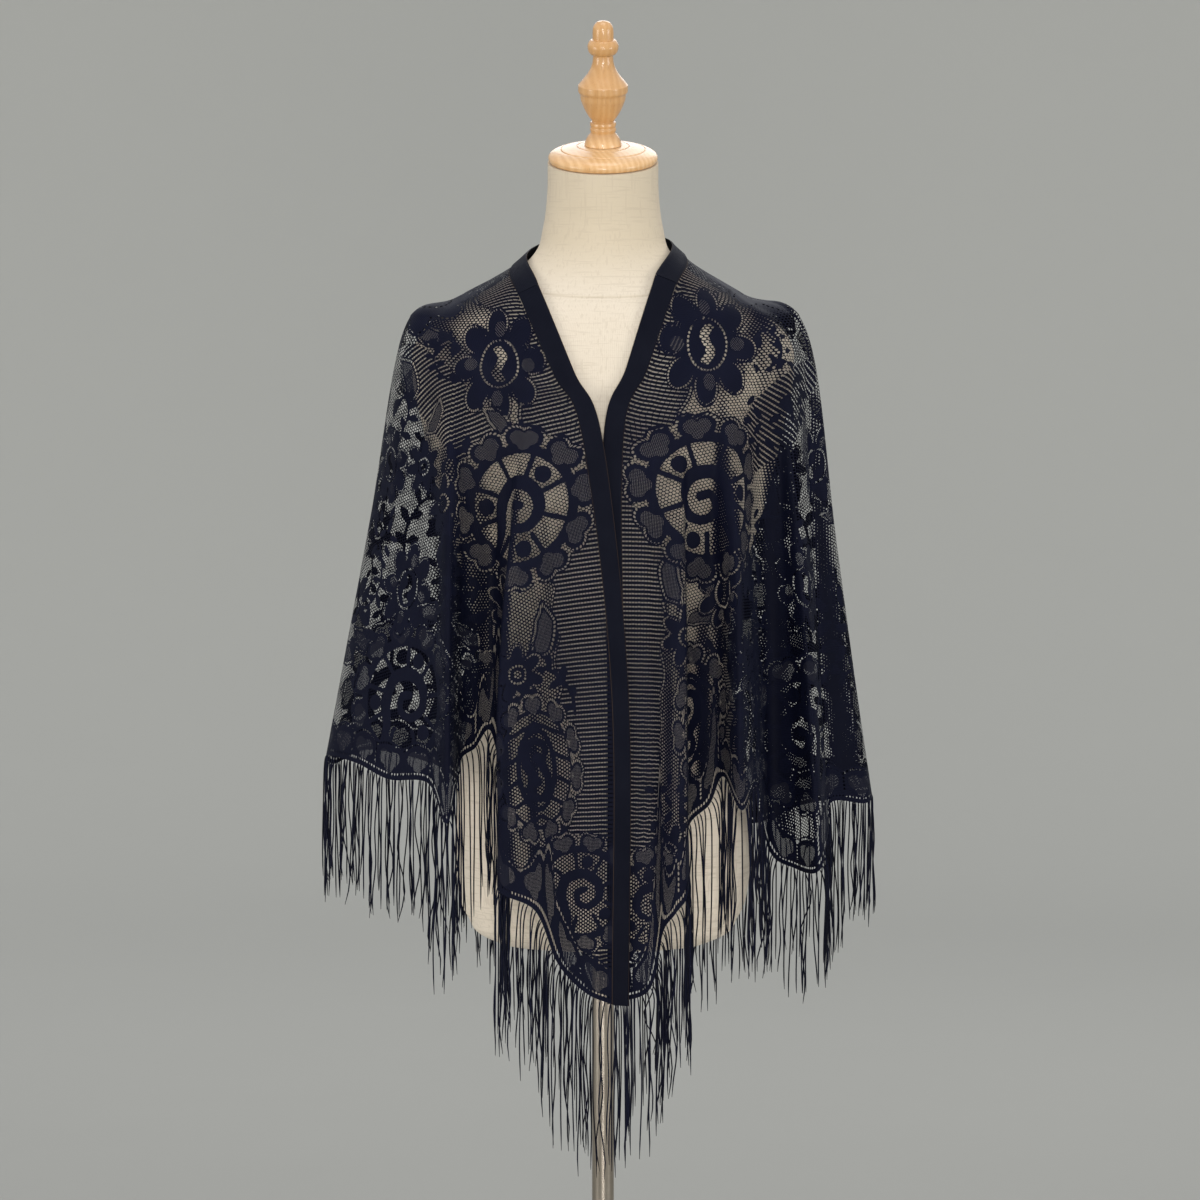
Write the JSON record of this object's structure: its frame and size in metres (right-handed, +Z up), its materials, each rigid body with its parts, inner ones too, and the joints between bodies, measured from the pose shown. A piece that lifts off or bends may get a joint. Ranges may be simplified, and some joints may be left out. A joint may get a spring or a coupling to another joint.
{
  "type": "lace shawl on a dress form",
  "caption": "Fringed triangle shawl of dark floral lace, draped with crossed fronts on a limbless linen dress form with a wooden neck cap, finial, pole and round base.",
  "frame": {"origin": "centre of the base's flat underside", "axes": "+Z up along the pole, the shawl's crossed fronts facing -Y, +X towards the form's own left side"},
  "size_m": [0.5502, 0.38, 1.609],
  "materials": {
    "lace": "dark navy knitted lace, soft sheen",
    "band": "dark navy close knit",
    "fringe": "dark navy twisted thread",
    "linen": "cream linen, matt",
    "wood": "honey-coloured wood, satin varnish",
    "pole": "pale champagne metal, satin"
  },
  "bodies": {
    "root": {"lace_front_left": "lace", "lace_front_right": "lace", "lace_side_left": "lace", "lace_side_right": "lace", "lace_back": "lace", "band_front_left": "band", "band_front_right": "band", "band_neck": "band", "fringe_front_left": "fringe", "fringe_front_right": "fringe", "fringe_side_left": "fringe", "fringe_side_right": "fringe", "fringe_back": "fringe", "form_torso": "linen", "form_neck_cap": "wood", "form_finial": "wood", "form_pole": "pole", "form_base": "pole"}
  },
  "joints": []
}
